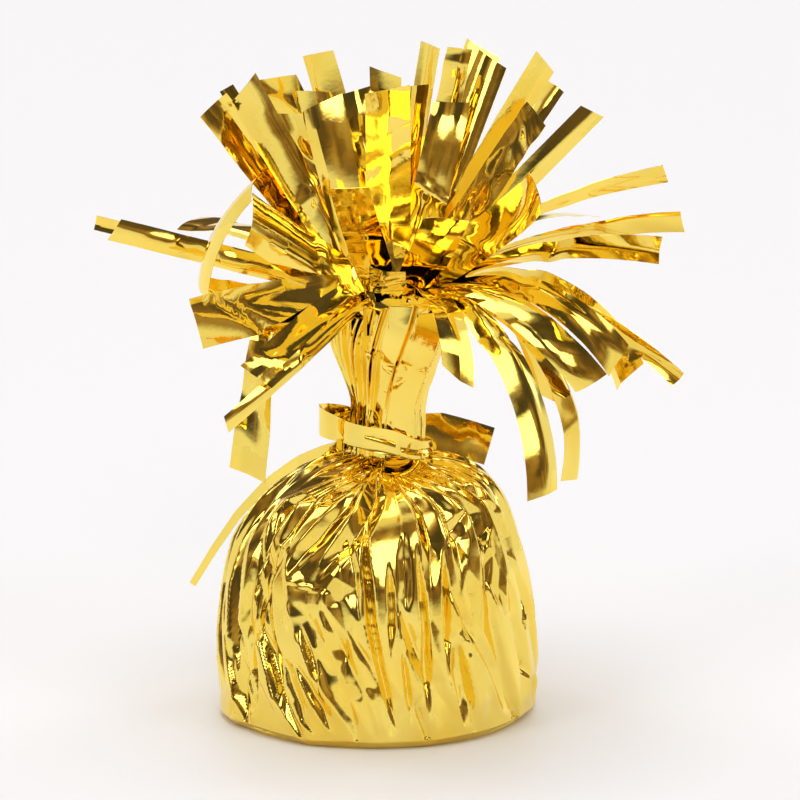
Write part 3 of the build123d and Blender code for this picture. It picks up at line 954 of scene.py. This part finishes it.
def tie_mesh(rng):
    """Ribbon of the tie, bunched into lengthwise folds where it goes round the neck, flat in its tail."""
    route = tie_route()
    points = np.array([point for point, _, _ in route])
    runs = np.concatenate([[0.0], np.cumsum(np.linalg.norm(np.diff(points, axis=0), axis=1))])
    stations = np.arange(0.0, runs[-1], TIE_STATION)
    line = [Vector([np.interp(run, runs, points[:, axis]) for axis in range(3)]) for run in stations]
    line = smooth_line(line, TIE_ROUNDING)
    widths = np.interp(stations, runs, [width for _, width, _ in route])
    gathers = np.interp(stations, runs, [gather for _, _, gather in route])
    folds = tie_folds(rng)
    tail_run = runs[-len(TIE_TAIL_ROUTE) - 1]
    vertices = []
    for index, run in enumerate(stations):
        ahead = (line[min(index + 1, len(line) - 1)] - line[max(index - 1, 0)]).normalized()
        outward = ahead.cross(Vector((0, 0, 1))).normalized()
        up = outward.cross(ahead)
        width, gather = float(widths[index]), float(gathers[index])
        loose = ease((run - tail_run) / TIE_TAIL_EASE)
        for column, (height, rate, start) in enumerate(folds):
            share = column / TIE_COLUMNS - 0.5
            pleat = TIE_FOLD * height * gather * (1 + TIE_SWELL * math.sin(rate * run + start))
            sway = TIE_SWAY * gather * math.sin(rate * run * TIE_SWAY_RATE + start)
            curl = (TIE_TAIL_CURL * share * share + TIE_TAIL_LEAN * share * width) * loose
            vertices.append(line[index] + up * (width * share + sway) - outward * (pleat + curl))
    return vertices, grid_faces(len(stations), TIE_COLUMNS + 1, closed=False)


# Pieces

def make_object(name, vertices, faces, material):
    """Piece with a mesh of points in millimetres."""
    mesh = bpy.data.meshes.new(name)
    mesh.from_pydata([vertex * MM for vertex in vertices], [], faces)
    obj = bpy.data.objects.new(name, mesh)
    bpy.context.scene.collection.objects.link(obj)
    mesh.materials.append(material)
    return obj


def clean(obj):
    """Joins doubled points, drops slivers, turns all faces outward and shades them smooth."""
    work = bmesh.new()
    work.from_mesh(obj.data)
    bmesh.ops.remove_doubles(work, verts=work.verts, dist=JOIN_DISTANCE * MM)
    bmesh.ops.dissolve_degenerate(work, edges=work.edges, dist=SLIVER_DISTANCE * MM)
    loose = [vertex for vertex in work.verts if not vertex.link_faces]
    bmesh.ops.delete(work, geom=loose, context="VERTS")
    bmesh.ops.recalc_face_normals(work, faces=work.faces)
    work.to_mesh(obj.data)
    work.free()
    obj.data.shade_smooth()


def crisp(obj, angle):
    """Shades folds over an angle, and the film's cut edges, as sharp lines."""
    obj.data.shade_smooth()
    obj.data.set_sharp_from_angle(angle=math.radians(angle))
    work = bmesh.new()
    work.from_mesh(obj.data)
    for edge in work.edges:
        if edge.is_boundary:
            edge.smooth = False
    work.to_mesh(obj.data)
    work.free()


def thicken(obj):
    """Gives the film its thickness."""
    film = obj.modifiers.new("film", "SOLIDIFY")
    film.thickness = FILM * MM
    film.offset = 0.0


def dress(obj, node):
    """Lets a film piece stand for a node."""
    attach(obj, "root")
    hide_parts(node)
    return obj


# Materials

def node_of(tree, kind, **settings):
    """New node of a kind with its settings."""
    node = tree.nodes.new(kind)
    for key, value in settings.items():
        setattr(node, key, value)
    return node


def noise_of(tree, place, scale, detail):
    """Noise over places, of a scale and a detail."""
    noise = node_of(tree, "ShaderNodeTexNoise")
    noise.inputs["Scale"].default_value = scale
    noise.inputs["Detail"].default_value = detail
    tree.links.new(place, noise.inputs["Vector"])
    return noise.outputs["Fac"]


def tint_of(tree, noise, dark, pale, stops=(0.0, 1.0)):
    """Colour that drifts from dark to pale with a noise."""
    tint = node_of(tree, "ShaderNodeValToRGB")
    for stop, position, colour in zip(tint.color_ramp.elements, stops, (dark, pale)):
        stop.position = position
        stop.color = colour
    tree.links.new(noise, tint.inputs["Fac"])
    return tint.outputs["Color"]


def level_of(tree, noise, levels, stops=(0.0, 1.0)):
    """Number that goes from one level to another with a noise."""
    level = node_of(tree, "ShaderNodeMapRange")
    for socket, value in zip(("From Min", "From Max", "To Min", "To Max"), (*stops, *levels)):
        level.inputs[socket].default_value = value
    tree.links.new(noise, level.inputs["Value"])
    return level.outputs["Result"]


def bump_of(tree, noise, strength, height):
    """Surface direction of small bumps that follow a noise."""
    bump = node_of(tree, "ShaderNodeBump")
    bump.inputs["Strength"].default_value = strength
    bump.inputs["Distance"].default_value = height * MM
    tree.links.new(noise, bump.inputs["Height"])
    return bump.outputs["Normal"]


def film_material():
    """Metallised film: a mirror with faint colour drift, cloudy gloss and fine crinkles."""
    material = bpy.data.materials.new("gold_film")
    material.use_nodes = True
    tree = material.node_tree
    shader = tree.nodes["Principled BSDF"].inputs
    shader["Metallic"].default_value = 1.0
    place = node_of(tree, "ShaderNodeTexCoord").outputs["Object"]
    tint = tint_of(tree, noise_of(tree, place, *TINT_NOISE), GOLD_DEEP, GOLD_PALE, TINT_STOPS)
    gloss = level_of(tree, noise_of(tree, place, *GLOSS_NOISE), GOLD_ROUGHNESS, GLOSS_STOPS)
    crinkles = bump_of(tree, noise_of(tree, place, *CRINKLE_NOISE), CRINKLE_STRENGTH, CRINKLE_HEIGHT)
    tree.links.new(tint, shader["Base Color"])
    tree.links.new(gloss, shader["Roughness"])
    tree.links.new(crinkles, shader["Normal"])
    return material


def cast_material():
    """Pale cast stone with fine pores."""
    material = bpy.data.materials.new("cast_weight")
    material.use_nodes = True
    tree = material.node_tree
    shader = tree.nodes["Principled BSDF"].inputs
    place = node_of(tree, "ShaderNodeTexCoord").outputs["Object"]
    grain = noise_of(tree, place, *CAST_NOISE)
    tree.links.new(tint_of(tree, grain, CAST_DARK, CAST_PALE), shader["Base Color"])
    tree.links.new(level_of(tree, grain, CAST_ROUGHNESS), shader["Roughness"])
    tree.links.new(bump_of(tree, grain, PORE_STRENGTH, PORE_DEPTH), shader["Normal"])
    return material


# Studio

# Places of the colour sockets of a mix
MIX_UNDER = 6
MIX_OVER = 7
MIX_RESULT = 2


def math_of(tree, operation, *sources):
    """Result of a sum on other results or numbers."""
    node = node_of(tree, "ShaderNodeMath", operation=operation)
    for socket, source in zip(node.inputs, sources):
        if isinstance(source, float):
            socket.default_value = source
        else:
            tree.links.new(source, socket)
    return node.outputs[0]


def studio_patch(tree, direction, under, over, azimuth, elevation, half_wide, half_tall, soft):
    """One soft-edged panel of the surroundings, of one level or of the room's colours, over what is there."""
    spun = node_of(tree, "ShaderNodeVectorRotate", rotation_type="Z_AXIS")
    spun.inputs["Angle"].default_value = -math.radians(azimuth)
    tree.links.new(direction, spun.inputs["Vector"])
    parts = node_of(tree, "ShaderNodeSeparateXYZ")
    tree.links.new(spun.outputs["Vector"], parts.inputs["Vector"])
    turn = math_of(tree, "ARCTAN2", parts.outputs["Y"], parts.outputs["X"])
    climb = math_of(tree, "ARCSINE", parts.outputs["Z"])
    away = math_of(tree, "SUBTRACT", climb, math.radians(elevation))
    masks = []
    for source, half in ((turn, half_wide), (away, half_tall)):
        edge = node_of(tree, "ShaderNodeMapRange", interpolation_type="SMOOTHSTEP")
        edge.inputs["From Min"].default_value = math.radians(half + soft)
        edge.inputs["From Max"].default_value = math.radians(half - soft)
        tree.links.new(math_of(tree, "ABSOLUTE", source), edge.inputs["Value"])
        masks.append(edge.outputs["Result"])
    mix = node_of(tree, "ShaderNodeMix", data_type="RGBA")
    tree.links.new(math_of(tree, "MULTIPLY", *masks), mix.inputs["Factor"])
    for socket, source in ((mix.inputs[MIX_UNDER], under), (mix.inputs[MIX_OVER], over)):
        if isinstance(source, float):
            socket.default_value = (source, source, source, 1)
        else:
            tree.links.new(source, socket)
    return mix.outputs[MIX_RESULT]


def build_studio():
    """Pale surroundings with bands of a room and bright panels."""
    world = bpy.data.worlds.new("studio")
    bpy.context.scene.world = world
    world.use_nodes = True
    tree = world.node_tree
    place = node_of(tree, "ShaderNodeTexCoord").outputs["Generated"]
    room = node_of(tree, "ShaderNodeValToRGB")
    ramp = room.color_ramp.elements
    for index, (position, colour) in enumerate(ROOM_COLOURS):
        stop = ramp[index] if index < len(ramp) else ramp.new(position)
        stop.position = position
        stop.color = (*colour, 1)
    tree.links.new(noise_of(tree, place, ROOM_SCALE, ROOM_DETAIL), room.inputs["Fac"])
    level = STUDIO_BASE
    for band in ROOM_BANDS:
        level = studio_patch(tree, place, level, room.outputs["Color"], *band)
    for brightness, *panel in BRIGHT_PANELS:
        level = studio_patch(tree, place, level, brightness, *panel)
    tree.links.new(level, tree.nodes["Background"].inputs["Color"])


def build_floor():
    """Wide pale floor with a faint gloss."""
    material = bpy.data.materials.new("floor")
    material.use_nodes = True
    shader = material.node_tree.nodes["Principled BSDF"]
    shader.inputs["Base Color"].default_value = FLOOR_COLOUR
    shader.inputs["Roughness"].default_value = FLOOR_ROUGHNESS
    bpy.ops.mesh.primitive_circle_add(vertices=FLOOR_CORNERS, radius=FLOOR_RADIUS, fill_type="NGON")
    floor = bpy.context.object
    floor.name = "floor"
    floor.data.materials.append(material)


def build_camera():
    """Camera at the photograph's view."""
    data = bpy.data.cameras.new("camera")
    data.lens = CAMERA_LENS
    data.sensor_width = CAMERA_SENSOR
    data.clip_start, data.clip_end = CAMERA_CLIP
    camera = bpy.data.objects.new("camera", data)
    camera.location = Vector(CAMERA_PLACE) * MM
    camera.rotation_euler = (math.radians(90 - CAMERA_PITCH), 0, 0)
    bpy.context.scene.collection.objects.link(camera)
    bpy.context.scene.camera = camera


def build_object():
    """Film pieces over their nodes, and the cast weight's finish."""
    gold = film_material()
    wrap = make_object("foil_wrap_film", *wrap_mesh(random.Random(WRAP_SEED)), gold)
    clean(wrap)
    thicken(wrap)
    dress(wrap, "foil_wrap")

    stem = make_object("gathered_stem_film", *stem_mesh(random.Random(STEM_SEED)), gold)
    clean(stem)
    crisp(stem, STEM_SHARP)
    dress(stem, "gathered_stem")

    tie = make_object("neck_tie_film", *tie_mesh(random.Random(TIE_SEED)), gold)
    crisp(tie, TIE_SHARP)
    thicken(tie)
    dress(tie, "neck_tie")

    rng = random.Random(STRIP_SEED)
    for ring, rows in RINGS.items():
        for number, strip in enumerate(rows, 1):
            node = f"{ring}_{number:02d}"
            obj = make_object(f"{node}_film", *strip_mesh(rng, node, strip), gold)
            crisp(obj, STRIP_SHARP)
            thicken(obj)
            dress(obj, node)

    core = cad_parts["weight_core"]
    core.data.materials.clear()
    core.data.materials.append(cast_material())


build_camera()
build_studio()
build_floor()
build_object()
bpy.context.scene.view_settings.view_transform = "Standard"
